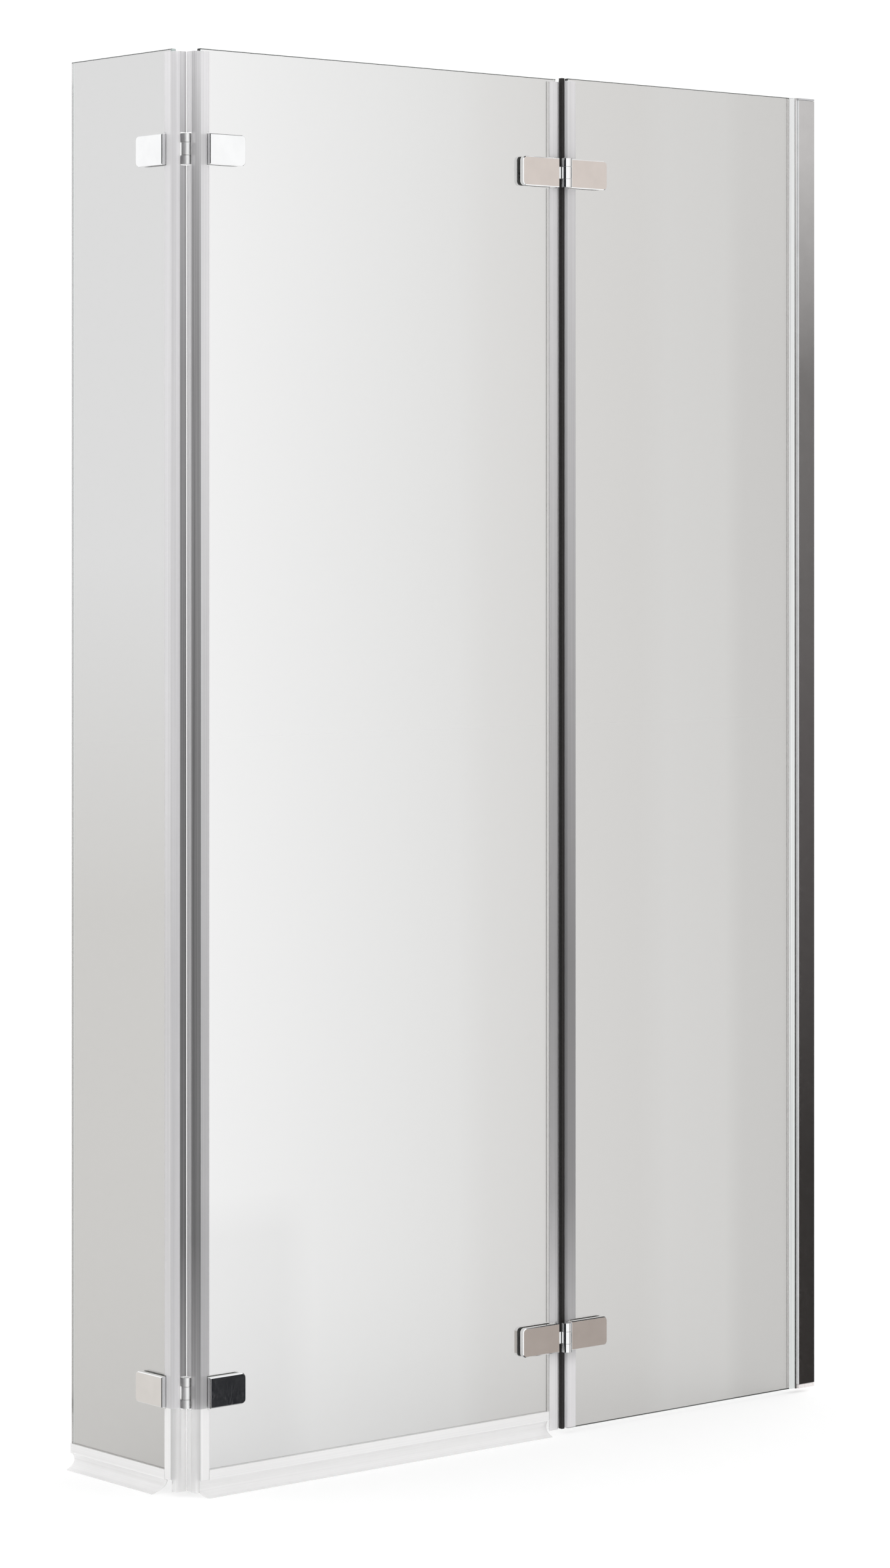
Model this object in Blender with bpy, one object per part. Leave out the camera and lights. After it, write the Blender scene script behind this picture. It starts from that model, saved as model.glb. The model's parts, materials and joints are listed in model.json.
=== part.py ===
"""Three-panel hinged glass bath screen, in metres, +Z up.

A fixed pane sits in a profile on the wall (+X end). A centre panel folds on it with two glass-to-glass hinges
whose knuckles are on the room side (-Y), and a short return panel folds on the centre panel with two more
whose knuckles are on the bath side. At rest the return panel stands at a right angle to the run.
"""

import math

import bmesh
import bpy
from mathutils import Matrix, Vector

MM = 0.001

# The layout, from above: its zero point is the corner hinge axis at the level of the bath rim. The run goes
# along +X to the wall, the return panel along +Y, and the room is on the -Y side.
SCREEN_HEIGHT = 1400 * MM
WALL_X = 836 * MM
MIDDLE_AXIS_X = 473.5 * MM
RETURN_FREE_EDGE = 174.2 * MM
FIXED_GLASS_END = 823.5 * MM
GLASS = 6 * MM
AXIS_TO_GLASS = 7.4 * MM
CORNER_EDGE = 7 * MM
MIDDLE_EDGE = 8.5 * MM
MOVING_TOP = SCREEN_HEIGHT - 2 * MM
MOVING_BOTTOM = 12.7 * MM
HINGE_LEVELS = {"top": 1301 * MM, "bottom": 96.5 * MM}

# Glass-to-glass hinge: distances along the glass run from the hinge axis.
HINGE_HALF_HEIGHT = 15 * MM
LEAF_START, LEAF_END = 8 * MM, 58 * MM
CLAMP_START = 14.3 * MM
PLATE = 5 * MM
PLATE_TO_GLASS = 0.75 * MM
PLATE_CORNER, PLATE_CHAMFER = 4.5 * MM, 0.8 * MM
KNUCKLE_RADIUS = 5.1 * MM
ARM_FRONT = 2 * MM
MIDDLE_KNUCKLE_HALF = 6.1 * MM
PIN_RADIUS, PIN_HOLE = 2 * MM, 2.25 * MM
SCREW_SPOT = 38 * MM
SCREW_RADIUS, SCREW_HEAD = 2.85 * MM, 5.4 * MM
SCREW_SUNK = 0.3 * MM
SCREW_TIP_DEPTH = 3.75 * MM
HEAD_HEIGHT = 2.9 * MM
CLEAR_HOLE, TAPPED_HOLE, TAPPED_SPARE = 3.4 * MM, 3.1 * MM, 0.3 * MM
SCREW_TIP = 0.6 * MM
LINER_PLAY, LINER_INSET = 0.15 * MM, 0.6 * MM
PIN_TIP = 0.4 * MM
SOCKET_RADIUS, SOCKET_DEPTH = 2.3 * MM, 2.3 * MM
GLASS_HOLE, SLEEVE_RADIUS = 7 * MM, 6.6 * MM
GLASS_CHAMFER = 0.5 * MM

# Clear plastic seals: the channel that grips the glass, and how far seals stop short of other things.
SEAL_WALL = 0.8 * MM
SEAL_GAP = 0.2 * MM
VERTICAL_LEG, BOTTOM_LEG = 9.5 * MM, 8.5 * MM
SEAL_TOP_STEP, SEAL_FOOT = 2.6 * MM, 1 * MM
NOTCH_HALF = HINGE_HALF_HEIGHT + 1 * MM
NOTCH_GAP, CLAMP_NOTCH_GAP = 0.1 * MM, 0.4 * MM
SEAL_END_GAP = 0.5 * MM

# Corner seals: a curved face to a plane just past the axis, then a lip in that plane.
LIP_PLANE = 0.3 * MM
LIP_BEND, LIP_BEND_FROM, LIP_BEND_RISE = 5 * MM, 112, 0.5 * MM
LIP_END, LIP_POINT = 0.15 * MM, 0.1 * MM
LIP_ROOT, LIP_HOLLOW_ROOT = 2.4 * MM, 1.4 * MM

# Middle joint: a slanting bubble with a round nose, and a shelf with a dark strip on it.
NOSE_PLANE, NOSE_RADIUS = 0.5 * MM, 1.4 * MM
STRIP_LOW, STRIP_HIGH = (0.9 * MM, 8.8 * MM), (4.7 * MM, 13.4 * MM)
SHELF_ROOT = 1.6 * MM

# Bottom seals: the fin's reach and drop from the glass's lower edge, its root and the point it bends towards.
FIN_REACH, FIN_DROP = 6.3 * MM, 17.3 * MM
FIN_ROOT_X = -1.5 * MM
FIN_WAIST = (-9.5 * MM, -11.5 * MM)
FIN_HALF, FIN_TIP_HALF = 0.45 * MM, 0.3 * MM
FIN_STEPS = 9
FIN_ROUND_END, FIN_SLANT, FIN_SLANT_ROOT = 6 * MM, 14 * MM, 1.5 * MM

# Wall profile, across the glass and along the run.
CHANNEL_DEPTH, CHANNEL_WALL, CHANNEL_PROUD = 23.5 * MM, 1.6 * MM, 4.6 * MM
CHANNEL_BACK = 2 * MM
GLAZING_START, GLAZING_END = 808.5 * MM, 829.5 * MM
GLAZING_PROUD, GLAZING_WALL = 2.7 * MM, 1.4 * MM
GASKET_START, GASKET_END = 801.8 * MM, 825 * MM
GASKET_WALL, GASKET_GAP, GASKET_SHORT = 0.7 * MM, 0.3 * MM, 0.5 * MM
WEDGE_PROUD, WEDGE_FRONT, WEDGE_RISE = 1.9 * MM, 1.2 * MM, 0.4 * MM
BOTTOM_CAP, TOP_CAP = 4 * MM, 2 * MM
CAP_GAP = 0.3 * MM
ADJUSTER_X = 819 * MM
ADJUSTER_LEVELS = (110 * MM, 700 * MM, 1290 * MM)
WALL_HOLE_LEVELS = (60 * MM, 640 * MM, 1340 * MM)
WALL_HOLE, ADJUSTER_HOLE = 2.3 * MM, 1.75 * MM

# The part's own zero point is under the middle of its box, level with the tips of the bottom seals.
GLASS_BACK = AXIS_TO_GLASS + GLASS
MIDDLE_AXIS_Y = -GLASS_BACK - AXIS_TO_GLASS
LOW_X = -(GLASS_BACK + FIN_REACH + FIN_TIP_HALF)
LOW_Y = MIDDLE_AXIS_Y - KNUCKLE_RADIUS
SHIFT = Vector((
    -(LOW_X + WALL_X) / 2,
    -(LOW_Y + RETURN_FREE_EDGE) / 2,
    FIN_DROP + FIN_TIP_HALF - MOVING_BOTTOM,
))

X, Y, Z = Vector((1, 0, 0)), Vector((0, 1, 0)), Vector((0, 0, 1))
CORNER_AXIS = Vector((0, 0, 0))
MIDDLE_AXIS = Vector((MIDDLE_AXIS_X, MIDDLE_AXIS_Y, 0))

# A glass edge beside a hinge axis: the axis, the way the glass runs from it, and the way from the axis to the
# glass, across it. Hinges and vertical seals are drawn in these three numbers: along, across, up.
EDGES = {
    "fixed": (MIDDLE_AXIS, X, Y),
    "centre_middle": (MIDDLE_AXIS, -X, Y),
    "centre_corner": (CORNER_AXIS, X, -Y),
    "return": (CORNER_AXIS, Y, -X),
}

CHROME = ((0.78, 0.79, 0.8), 0.07, 1.0, 1.0)
STAINLESS = ((0.62, 0.62, 0.63), 0.25, 1.0, 1.0)
CLEAR_GLASS = ((0.86, 0.9, 0.88), 0.03, 0.0, 0.3)
CLEAR_PLASTIC = ((0.84, 0.85, 0.86), 0.2, 0.0, 0.5)
DARK_STRIP = ((0.03, 0.025, 0.023), 0.5, 0.0, 1.0)
WHITE_PLASTIC = ((0.86, 0.83, 0.82), 0.35, 0.0, 1.0)
GREY_PLASTIC = ((0.5, 0.5, 0.51), 0.35, 0.0, 1.0)


def clear_scene():
    for thing in list(bpy.data.objects):
        bpy.data.objects.remove(thing)


def finish_of(name, look):
    """A Principled material of the node's own: colour, roughness, metallic, alpha."""
    colour, roughness, metallic, alpha = look
    finish = bpy.data.materials.new(name + "_finish")
    finish.use_nodes = True
    shader = finish.node_tree.nodes["Principled BSDF"].inputs
    shader["Base Color"].default_value = (*colour, 1)
    shader["Roughness"].default_value = roughness
    shader["Metallic"].default_value = metallic
    shader["Alpha"].default_value = alpha
    return finish


def empty(name, layout, parent=None):
    """An empty at a place in the layout, to hold what moves with it."""
    holder = bpy.data.objects.new(name, None)
    bpy.context.scene.collection.objects.link(holder)
    holder.parent = parent
    holder.location = layout - Vector(parent["layout"]) if parent else layout + SHIFT
    holder["layout"] = list(layout)
    holder.empty_display_size = 0.05
    return holder


def stack(name, levels, across=False):
    """A solid from flat outlines at rising levels. With across, the outlines are along and up, and the levels
    go across the glass."""
    mesh = bmesh.new()
    rings = []
    for outline, level in levels:
        spots = [(p, level, q) if across else (p, q, level) for p, q in outline]
        rings.append([mesh.verts.new(spot) for spot in spots])
    for low, high in zip(rings, rings[1:]):
        for i, corner in enumerate(low):
            mesh.faces.new((low[i - 1], corner, high[i], high[i - 1]))
    mesh.faces.new(rings[0])
    mesh.faces.new(rings[-1])
    bmesh.ops.recalc_face_normals(mesh, faces=mesh.faces)
    thing = bpy.data.objects.new(name, bpy.data.meshes.new(name))
    mesh.to_mesh(thing.data)
    mesh.free()
    bpy.context.scene.collection.objects.link(thing)
    return thing


def prism(name, outline, low, high, across=False):
    return stack(name, [(outline, low), (outline, high)], across)


def rectangle(low, high):
    return [low, (high[0], low[1]), high, (low[0], high[1])]


def arc(centre, radius, start, end, steps):
    """Points on an arc, with the angles in degrees."""
    turns = [math.radians(start + (end - start) * i / steps) for i in range(steps + 1)]
    return [(centre[0] + radius * math.cos(t), centre[1] + radius * math.sin(t)) for t in turns]


def circle(centre, radius, sides):
    return arc(centre, radius, 0, 360, sides)[:-1]


def combine(body, tools, operation):
    """Joins tools to a body, or cuts them from it, and removes them."""
    for tool in tools:
        step = body.modifiers.new(tool.name, "BOOLEAN")
        step.operation = operation
        step.object = tool
    graph = bpy.context.evaluated_depsgraph_get()
    body.data = bpy.data.meshes.new_from_object(body.evaluated_get(graph))
    body.modifiers.clear()
    for tool in tools:
        bpy.data.objects.remove(tool)


def frame(origin, first, second, third):
    """The matrix from a drawing's own three numbers to the layout."""
    matrix = Matrix((first, second, third)).transposed().to_4x4()
    matrix.translation = origin
    return matrix


def settle(body, matrix, holder, look, smooth_below=30):
    """Moves a drawn solid to its place in the layout, hangs it on its holder and gives it a finish."""
    body.data.transform(Matrix.Translation(-Vector(holder["layout"])) @ matrix)
    if matrix.determinant() < 0:
        body.data.flip_normals()
    body.data.shade_smooth()
    body.data.set_sharp_from_angle(angle=math.radians(smooth_below))
    body.data.materials.clear()
    body.data.materials.append(finish_of(body.name, look))
    body.parent = holder


def settle_at_edge(body, edge, level, holder, look):
    axis, along, across = EDGES[edge]
    settle(body, frame(axis + level * Z, along, across, Z), holder, look)


def pane(name, edge, span, height, hole_spots, holder):
    """A pane of toughened glass with ground edges and a hole for each hinge screw."""
    def outline(inset):
        return rectangle((span[0] + inset, height[0] + inset), (span[1] - inset, height[1] - inset))

    cut, whole = outline(GLASS_CHAMFER), outline(0)
    near, far = AXIS_TO_GLASS, GLASS_BACK
    levels = [(cut, near), (whole, near + GLASS_CHAMFER), (whole, far - GLASS_CHAMFER), (cut, far)]
    body = stack(name, levels, across=True)
    holes = [
        prism("hole", circle((spot, level), GLASS_HOLE, 24), near - MM, far + MM, across=True)
        for spot in hole_spots
        for level in HINGE_LEVELS.values()
    ]
    combine(body, holes, "DIFFERENCE")
    settle_at_edge(body, edge, 0, holder, CLEAR_GLASS)


def plate_outline(start, inset):
    """A hinge plate's face: square at the joint, with two round corners at its far end."""
    half, end = HINGE_HALF_HEIGHT - inset, LEAF_END - inset
    radius = PLATE_CORNER - inset
    low = arc((end - radius, radius - half), radius, -90, 0, 5)
    high = arc((end - radius, half - radius), radius, 0, 90, 5)
    return [(start + inset, -half), *low, *high, (start + inset, half)]


def plate(name, start, face, glass_side):
    """A hinge plate, chamfered round its outer face, which is at one distance from the axis."""
    chamfer_at = face + math.copysign(PLATE_CHAMFER, glass_side - face)
    levels = [
        (plate_outline(start, PLATE_CHAMFER), face),
        (plate_outline(start, 0), chamfer_at),
        (plate_outline(start, 0), glass_side),
    ]
    return stack(name, levels, across=True)


def countersink(face, inwards):
    """A cutter for a screw head and its shank, entering a plate at its face."""
    wide = SCREW_HEAD + 2 * SCREW_SUNK
    slope = (SCREW_HEAD - SCREW_RADIUS) / HEAD_HEIGHT
    depth = (wide - CLEAR_HOLE) / slope
    levels = [(-MM, wide), (0, wide), (depth, CLEAR_HOLE), (PLATE + MM, CLEAR_HOLE)]
    rings = [(circle((SCREW_SPOT, 0), r, 20), face + inwards * d) for d, r in levels]
    return stack("countersink", rings, across=True)


def tapped_hole(glass_side, inwards):
    """A cutter for the blind hole that the screw's end goes into."""
    ring = circle((SCREW_SPOT, 0), TAPPED_HOLE, 20)
    end = glass_side + inwards * (SCREW_TIP_DEPTH + TAPPED_SPARE)
    return prism("tapped_hole", ring, glass_side - inwards * MM, end, across=True)


def knuckle(low, high):
    """One knuckle with the arm that joins it to its leaf."""
    start = math.degrees(math.asin(ARM_FRONT / KNUCKLE_RADIUS))
    reach = LEAF_START + PLATE_CHAMFER / 2
    barrel = arc((0, 0), KNUCKLE_RADIUS, start, -270, 24)
    outline = [(reach, ARM_FRONT), *barrel, (reach, KNUCKLE_RADIUS)]
    return prism("knuckle", outline, low, high)


def leaf(name, edge, level, knuckles, screw_enters, holder):
    """The half of a hinge that has the knuckles. Its plate lies on the glass face nearest to the axis."""
    glass_side = AXIS_TO_GLASS - PLATE_TO_GLASS
    face = glass_side - PLATE
    body = plate(name, LEAF_START, face, glass_side)
    combine(body, [knuckle(low, high) for low, high in knuckles], "UNION")
    tall = HINGE_HALF_HEIGHT + MM
    pin_hole = prism("pin_hole", circle((0, 0), PIN_HOLE, 20), -tall, tall)
    screw_hole = countersink(face, 1) if screw_enters else tapped_hole(glass_side, -1)
    combine(body, [pin_hole, screw_hole], "DIFFERENCE")
    settle_at_edge(body, edge, level, holder, CHROME)


def clamp_plate(name, edge, level, screw_enters, holder):
    """The loose plate on the glass face farthest from the axis."""
    glass_side = GLASS_BACK + PLATE_TO_GLASS
    face = glass_side + PLATE
    body = plate(name, CLAMP_START, face, glass_side)
    screw_hole = countersink(face, -1) if screw_enters else tapped_hole(glass_side, 1)
    combine(body, [screw_hole], "DIFFERENCE")
    settle_at_edge(body, edge, level, holder, CHROME)


def liner(name, edge, level, holder):
    """A soft liner: a pad on each glass face and a sleeve through the glass, round the screw."""
    thick = PLATE_TO_GLASS - 2 * LINER_PLAY
    leaf_pad = plate_outline(MIDDLE_EDGE + LINER_PLAY, LINER_INSET)
    clamp_pad = plate_outline(CLAMP_START, LINER_INSET)
    near, far = AXIS_TO_GLASS - LINER_PLAY, GLASS_BACK + LINER_PLAY
    body = prism(name, leaf_pad, near - thick, near, across=True)
    sleeve = circle((SCREW_SPOT, 0), SLEEVE_RADIUS, 24)
    pieces = [
        prism("sleeve", sleeve, near - thick / 2, far + thick / 2, across=True),
        prism("clamp_pad", clamp_pad, far, far + thick, across=True),
    ]
    combine(body, pieces, "UNION")
    bore = circle((SCREW_SPOT, 0), CLEAR_HOLE, 20)
    combine(body, [prism("bore", bore, near - 2 * MM, far + 2 * MM, across=True)], "DIFFERENCE")
    settle_at_edge(body, edge, level, holder, CLEAR_PLASTIC)


def screw(name, edge, level, face, inwards, holder):
    """A countersunk screw with a hexagon socket, from one plate's face to the other plate's blind hole."""
    length = PLATE + 2 * PLATE_TO_GLASS + GLASS + SCREW_TIP_DEPTH
    shape = [
        (SCREW_SUNK, SCREW_HEAD),
        (SCREW_SUNK + HEAD_HEIGHT, SCREW_RADIUS),
        (length - SCREW_TIP, SCREW_RADIUS),
        (length, SCREW_RADIUS - SCREW_TIP),
    ]
    rings = [(circle((SCREW_SPOT, 0), r, 20), face + inwards * d) for d, r in shape]
    body = stack(name, rings, across=True)
    floor = face + inwards * (SCREW_SUNK + SOCKET_DEPTH)
    socket = circle((SCREW_SPOT, 0), SOCKET_RADIUS, 6)
    combine(body, [prism("socket", socket, face - inwards * MM, floor, across=True)], "DIFFERENCE")
    settle_at_edge(body, edge, level, holder, STAINLESS)


def pin(name, edge, level, holder):
    half, shoulder = HINGE_HALF_HEIGHT, HINGE_HALF_HEIGHT - PIN_TIP
    thin, full = circle((0, 0), PIN_RADIUS - PIN_TIP, 16), circle((0, 0), PIN_RADIUS, 16)
    body = stack(name, [(thin, -half), (full, -shoulder), (full, shoulder), (thin, half)])
    settle_at_edge(body, edge, level, holder, STAINLESS)


def half_hinge(name, edge, level, knuckles, leaf_takes_head, holder):
    """One panel's half of a hinge: leaf, clamp plate, liner and screw."""
    leaf(name + "_leaf", edge, level, knuckles, leaf_takes_head, holder)
    clamp_plate(name + "_clamp_plate", edge, level, not leaf_takes_head, holder)
    liner(name + "_liner", edge, level, holder)
    leaf_face = AXIS_TO_GLASS - PLATE_TO_GLASS - PLATE
    clamp_face = GLASS_BACK + PLATE_TO_GLASS + PLATE
    if leaf_takes_head:
        screw(name + "_screw", edge, level, leaf_face, 1, holder)
    else:
        screw(name + "_screw", edge, level, clamp_face, -1, holder)


def hinges(holders):
    """Four hinges. The centre panel's leaves have the middle knuckle, the other leaves the outer two. The
    screws go in on the bath side: through the leaf at the corner, through the clamp plate at the middle."""
    inner, tall = MIDDLE_KNUCKLE_HALF, HINGE_HALF_HEIGHT
    one = [(-inner, inner)]
    two = [(-tall, -inner - CAP_GAP), (inner + CAP_GAP, tall)]
    for place, level in HINGE_LEVELS.items():
        middle, corner = f"middle_{place}_hinge", f"corner_{place}_hinge"
        half_hinge(middle + "_fixed", "fixed", level, two, False, holders["fixed"])
        half_hinge(middle + "_centre", "centre_middle", level, one, False, holders["centre"])
        half_hinge(corner + "_centre", "centre_corner", level, one, True, holders["centre"])
        half_hinge(corner + "_return", "return", level, two, True, holders["return"])
        pin(middle + "_pin", "fixed", level, holders["fixed"])
        pin(corner + "_pin", "return", level, holders["return"])


def seal_legs(edge):
    """A seal's two legs, from the near leg's root, and the channel between them that grips the glass."""
    near, far = AXIS_TO_GLASS - SEAL_GAP, GLASS_BACK + SEAL_GAP
    end, web = edge + VERTICAL_LEG, edge - SEAL_GAP
    near_leg = [(web, near - SEAL_WALL), (end, near - SEAL_WALL), (end, near)]
    channel = [(web, near), (web, far)]
    far_leg = [(end, far), (end, far + SEAL_WALL), (web - SEAL_WALL / 2, far + SEAL_WALL)]
    return near_leg + channel + far_leg


def lip_seal():
    """A corner seal's outline and its hollow."""
    near, far = AXIS_TO_GLASS - SEAL_GAP, GLASS_BACK + SEAL_GAP
    centre = (LIP_PLANE + LIP_BEND, near + LIP_BEND_RISE)
    inside = LIP_PLANE + SEAL_WALL
    web = CORNER_EDGE - SEAL_GAP - SEAL_WALL
    bend = arc(centre, LIP_BEND, LIP_BEND_FROM, 180, 6)
    tip = [(LIP_PLANE, LIP_END), (LIP_PLANE + SEAL_WALL / 2, LIP_END - LIP_POINT), (inside, LIP_END)]
    outline = seal_legs(CORNER_EDGE) + bend + tip + [(inside, near - LIP_ROOT)]
    hollow_bend = arc(centre, LIP_BEND - SEAL_WALL, LIP_BEND_FROM, 180, 6)
    hollow_side = [(inside, near - LIP_HOLLOW_ROOT), (web, near + SEAL_GAP), (web, far - LIP_HOLLOW_ROOT)]
    return outline, hollow_bend + hollow_side


def slant_seal():
    """The centre panel's seal at the middle joint: a bubble with a face that slants away from the room."""
    near, far = AXIS_TO_GLASS - SEAL_GAP, GLASS_BACK + SEAL_GAP
    web = MIDDLE_EDGE - SEAL_GAP - SEAL_WALL
    nose = arc((NOSE_PLANE + NOSE_RADIUS, far - 1 * MM), NOSE_RADIUS, 90, 215, 6)
    outline = seal_legs(MIDDLE_EDGE) + nose + [(MIDDLE_EDGE - NOSE_RADIUS, near - SEAL_WALL)]
    hollow_nose = [(NOSE_PLANE + 2 * SEAL_WALL, far - SEAL_WALL), (NOSE_PLANE + 1 * MM, far - 1.3 * MM)]
    return outline, [(web, near + 1 * MM), (web, far - 0.6 * MM)] + hollow_nose


def strip_seal():
    """The fixed pane's seal: the channel and a shelf behind and beside the dark strip. It has no hollow."""
    back, side = STRIP_HIGH[1] + SEAL_GAP, STRIP_HIGH[0] + SEAL_GAP
    shelf = [(STRIP_LOW[0], back + SEAL_WALL / 2), (STRIP_LOW[0], back), (side, back), (side, STRIP_LOW[1])]
    root = (MIDDLE_EDGE - SHELF_ROOT, AXIS_TO_GLASS - SEAL_GAP - SEAL_WALL)
    return seal_legs(MIDDLE_EDGE) + shelf + [root], None


def hinge_notches(end, level):
    """Cutters that clear a hinge's leaf and clamp plate from a seal's two legs."""
    low, high = level - NOTCH_HALF, level + NOTCH_HALF
    leaf_side = rectangle((-MM, -MM), (end, AXIS_TO_GLASS - NOTCH_GAP))
    clamp_corner = (CLAMP_START - CLAMP_NOTCH_GAP, GLASS_BACK + NOTCH_GAP)
    clamp_side = rectangle(clamp_corner, (end, GLASS_BACK + 2 * MM))
    return [prism("leaf_notch", leaf_side, low, high), prism("clamp_notch", clamp_side, low, high)]


def vertical_seal(name, edge, drawing, span, foot_from, holder):
    """A seal down a glass edge, cut back for the hinges on both faces of the glass. Below the glass it keeps
    only what is between the axis and foot_from."""
    edge_at = MIDDLE_EDGE if edge in ("fixed", "centre_middle") else CORNER_EDGE
    outline, hollow = drawing
    body = prism(name, outline, *span)
    end = edge_at + VERTICAL_LEG + MM
    cutters = [notch for level in HINGE_LEVELS.values() for notch in hinge_notches(end, level)]
    if hollow:
        cutters.append(prism("hollow", hollow, span[0] - MM, span[1] + MM))
    if foot_from is not None:
        foot = rectangle((foot_from, 0), (end, GLASS_BACK + 2 * MM))
        cutters.append(prism("foot_cut", foot, span[0] - MM, MOVING_BOTTOM - 2 * SEAL_GAP))
    combine(body, cutters, "DIFFERENCE")
    settle_at_edge(body, edge, 0, holder, CLEAR_PLASTIC)


def bottom_seal_outline():
    """Out from the glass's room face and up from its bottom edge: a channel, and a fin that curves inwards
    and then sweeps out to the room."""
    wall, gap = SEAL_WALL, SEAL_GAP
    inner = -GLASS - gap
    floor = -gap - wall
    channel = [(gap, -gap), (gap, BOTTOM_LEG), (gap + wall, BOTTOM_LEG), (gap + wall, floor)]
    fin = fin_side(FIN_HALF) + fin_side(-FIN_HALF)[::-1]
    far_side = [(inner - wall, floor), (inner - wall, BOTTOM_LEG), (inner, BOTTOM_LEG), (inner, -gap)]
    return channel + fin + far_side


def fin_side(offset):
    """One side of the fin: a curve from the channel's floor to the tip, thinner towards the tip."""
    root = Vector((FIN_ROOT_X, -SEAL_GAP - SEAL_WALL))
    waist, tip = Vector(FIN_WAIST), Vector((FIN_REACH, -FIN_DROP))
    thinning = 1 - FIN_TIP_HALF / FIN_HALF
    points = []
    for step in range(FIN_STEPS + 1):
        t = step / FIN_STEPS
        spot = (1 - t) ** 2 * root + 2 * t * (1 - t) * waist + t * t * tip
        way = ((1 - t) * (waist - root) + t * (tip - waist)).normalized()
        points.append(tuple(spot + Vector((-way.y, way.x)) * offset * (1 - t * thinning)))
    points[0] = (points[0][0], root.y)
    return points


def bottom_seal(name, edge, channel_span, fin_start, slanted, holder):
    """A seal under a moving pane. At the corner its fin runs on past the channel to fin_start, with a round
    end, or is cut back at a slant."""
    axis, along, across = EDGES[edge]
    start = min(channel_span[0], fin_start)
    body = prism(name, bottom_seal_outline(), start, channel_span[1])
    if slanted:
        cutters = [slant_cutter(start)]
    else:
        above = rectangle((-GLASS - 2 * MM, -SEAL_GAP - SEAL_WALL - 0.01 * MM), (2 * MM, BOTTOM_LEG + MM))
        cutters = [prism("channel_end", above, start - MM, channel_span[0]), round_end_cutter(start)]
    combine(body, cutters, "DIFFERENCE")
    origin = axis + across * GLASS_BACK + MOVING_BOTTOM * Z
    settle(body, frame(origin, across, Z, along), holder, CLEAR_PLASTIC)


def round_end_cutter(start):
    """Rounds the fin's lower corner at its open end. Drawn along the glass and up, then turned."""
    centre = (start + FIN_ROUND_END, FIN_ROUND_END - FIN_DROP)
    curve = arc(centre, FIN_ROUND_END, 180, 270, 6)
    low = -FIN_DROP - MM
    return along_glass_cutter([(start - MM, low), (start - MM, centre[1]), *curve, (centre[0], low)])


def slant_cutter(start):
    """Cuts the fin off at a slant, from its root at the end to its tip further along."""
    low, root = -FIN_DROP - MM, -SEAL_GAP - SEAL_WALL - FIN_SLANT_ROOT
    slant = [(start - MM, root), (start, root), (start + FIN_SLANT, low)]
    return along_glass_cutter([(start - MM, low), *slant])


def along_glass_cutter(outline):
    """A cutter drawn along the glass and up, right through the seal from side to side."""
    wide = 2 * FIN_REACH
    cutter = prism("end_cutter", outline, -wide, wide)
    cutter.data.transform(frame(Vector(), Z, Y, X))
    cutter.data.flip_normals()
    return cutter


def channel_outline():
    """The wall channel from above, open towards the glass."""
    front, back = -GLASS_BACK - CHANNEL_PROUD, -AXIS_TO_GLASS + CHANNEL_PROUD
    start, floor, wall = WALL_X - CHANNEL_DEPTH, WALL_X - CHANNEL_BACK, CHANNEL_WALL
    outer = [(start, front), (WALL_X, front), (WALL_X, back), (start, back)]
    inner = [(start, back - wall), (floor, back - wall), (floor, front + wall), (start, front + wall)]
    return outer + inner


def along_y(name, spot, rings):
    """A turned solid whose axis is along +Y, from a place on the axis: rings of distance and radius."""
    levels = [(circle((spot[0], spot[1]), radius, 16), at) for at, radius in rings]
    return stack(name, levels, across=True)


def adjuster_holes(start, end):
    """Cutters for the set screws, along +Y."""
    rings = [(start, ADJUSTER_HOLE), (end, ADJUSTER_HOLE)]
    return [along_y("hole", (ADJUSTER_X, level), rings) for level in ADJUSTER_LEVELS]


def wall_profile(holder):
    """The channel on the wall, the profile that slides in it, their gasket, end caps and set screws."""
    front, back = -GLASS_BACK - CHANNEL_PROUD, -AXIS_TO_GLASS + CHANNEL_PROUD
    low, high = BOTTOM_CAP + CAP_GAP, SCREEN_HEIGHT - TOP_CAP - CAP_GAP
    channel = prism("wall_channel", channel_outline(), low, high)
    holes = adjuster_holes(back - 2 * MM, back + MM)
    for level in WALL_HOLE_LEVELS:
        hole = prism("hole", circle((0, 0), WALL_HOLE, 16), WALL_X - 2 * CHANNEL_BACK, WALL_X + MM)
        hole.data.transform(frame(Vector((0, (front + back) / 2, level)), Y, Z, X))
        holes.append(hole)
    combine(channel, holes, "DIFFERENCE")
    settle(channel, Matrix.Identity(4), holder, CHROME)
    glazing_profile(holder, back)
    gasket(holder)
    end_cap("profile_bottom_cap", 0, BOTTOM_CAP, WHITE_PLASTIC, holder)
    end_cap("profile_top_cap", SCREEN_HEIGHT - TOP_CAP, SCREEN_HEIGHT, GREY_PLASTIC, holder)
    for number, level in enumerate(ADJUSTER_LEVELS, 1):
        adjuster_screw(f"adjuster_screw_{number}", level, back, holder)


def cap_notches(start):
    """Cutters that clear both end caps from a profile."""
    past, side = WALL_X, 30 * MM
    area = rectangle((start, -side), (past, side))
    low = prism("notch", area, -MM, BOTTOM_CAP + CAP_GAP)
    return [low, prism("notch", area, SCREEN_HEIGHT - TOP_CAP - CAP_GAP, SCREEN_HEIGHT + MM)]


def glazing_profile(holder, channel_back):
    front, back = -GLASS_BACK - GLAZING_PROUD, -AXIS_TO_GLASS + GLAZING_PROUD
    wall, start, end = GLAZING_WALL, GLAZING_START, GLAZING_END
    outer = [(start, front), (end, front), (end, back), (start, back)]
    floor = end - wall
    inner = [(start, back - wall), (floor, back - wall), (floor, front + wall), (start, front + wall)]
    body = prism("glazing_profile", outer + inner, 0, SCREEN_HEIGHT)
    cutters = cap_notches(WALL_X - CHANNEL_DEPTH - CAP_GAP)
    combine(body, cutters + adjuster_holes(back - 2 * MM, channel_back), "DIFFERENCE")
    settle(body, Matrix.Identity(4), holder, CHROME)


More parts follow.
